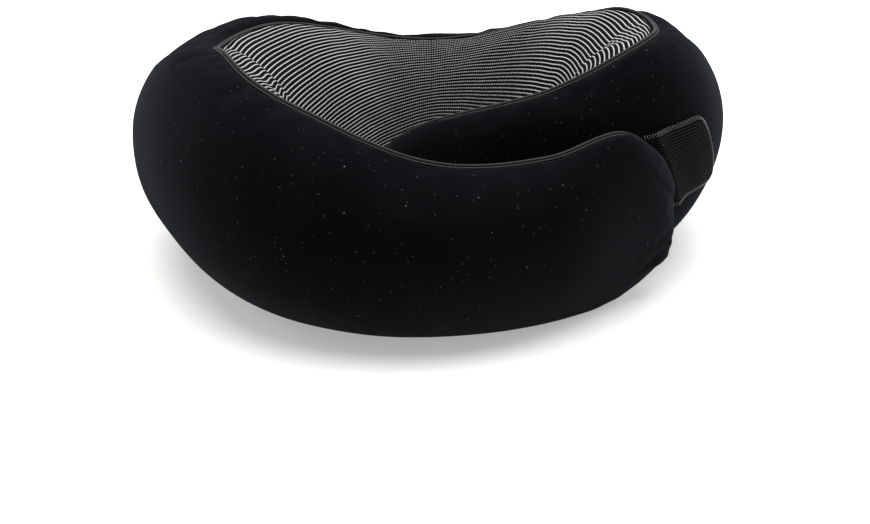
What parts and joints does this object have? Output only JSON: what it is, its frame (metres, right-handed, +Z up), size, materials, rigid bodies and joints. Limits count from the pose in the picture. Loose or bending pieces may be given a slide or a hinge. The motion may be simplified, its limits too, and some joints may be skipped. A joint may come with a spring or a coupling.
{
  "type": "u shaped neck pillow",
  "caption": "U-shaped wrap-over neck pillow: foam core in a zipped jersey cover with a knitted inner panel, piped seams and a hook tab that holds the arms shut.",
  "frame": {"origin": "centre of the pillow's outline, on the surface that it lies on", "axes": "+Z up, +Y towards the back of the neck, +X to the side that the front arm's tip laps over"},
  "size_m": [0.2828, 0.2927, 0.1148],
  "materials": {
    "foam": "open-cell memory foam, matt cream",
    "liner": "thin white tricot sock round the foam",
    "jersey": "matt black brushed jersey with a few specks of lint",
    "dotted_knit": "black knit with raised rows of white dots",
    "piping": "black knit-covered double cord, finely ribbed",
    "webbing": "black ribbed webbing with a light overlocked edge",
    "hook_and_loop": "black hook and loop pile",
    "zip_tape": "black herringbone zip tape",
    "zip_coil": "black nylon coil",
    "zip_metal": "satin black painted die casting",
    "label": "plain white satin ribbon with no print"
  },
  "bodies": {
    "back": {"foam_back": "foam", "liner_back": "liner", "cover_back": "jersey", "panel_back": "dotted_knit", "piping_back_upper": "piping", "piping_back_lower": "piping", "zip_tape_upper": "zip_tape", "zip_tape_lower": "zip_tape", "zip_coil": "zip_coil", "zip_stop_closed": "zip_metal", "zip_stop_open": "zip_metal", "care_label": "label"},
    "front_arm": {"foam_front_arm": "foam", "liner_front_arm": "liner", "cover_front_arm": "jersey", "panel_front_arm": "dotted_knit", "piping_front_arm": "piping"},
    "tucked_arm": {"foam_tucked_arm": "foam", "liner_tucked_arm": "liner", "cover_tucked_arm": "jersey", "panel_tucked_arm": "dotted_knit", "piping_tucked_arm": "piping", "loop_patch": "hook_and_loop"},
    "hook_tab": {"tab_webbing": "webbing", "tab_hook_pad": "hook_and_loop"},
    "zip_slider": {"zip_slider": "zip_metal"},
    "zip_pull": {"zip_pull": "zip_metal"}
  },
  "joints": [
    {"name": "front_arm_flex", "type": "hinge", "parent": "back", "child": "front_arm", "pos_m": [-0.101, 0.026, 0.05], "axis": [0, 0, -1], "range_deg": [0, 35], "stiffness_Nm_per_rad": 0.6},
    {"name": "tucked_arm_flex", "type": "hinge", "parent": "back", "child": "tucked_arm", "pos_m": [0.103, 0.026, 0.05], "axis": [0, 0, 1], "range_deg": [0, 8.75], "stiffness_Nm_per_rad": 0.6},
    {"name": "tab_peel", "type": "hinge", "parent": "front_arm", "child": "hook_tab", "pos_m": [0.1119, -0.0695, 0.0702], "axis": [0.3069, 0.151, -0.9397], "range_deg": [0, 110], "stiffness_Nm_per_rad": 0.02},
    {"name": "zip_slider_travel", "type": "hinge", "parent": "back", "child": "zip_slider", "pos_m": [0.001, 0.006, 0.022], "axis": [0, 0, -1], "range_deg": [0, 72]},
    {"name": "zip_pull_swing", "type": "hinge", "parent": "zip_slider", "child": "zip_pull", "pos_m": [-0.0803, 0.1179, 0.0194], "axis": [-0.3201, 0.4406, 0.8387], "range_deg": [0, 165]}
  ],
  "couplings": [
    {"joint": "tucked_arm_flex", "follows": "front_arm_flex", "ratio": 0.25}
  ]
}
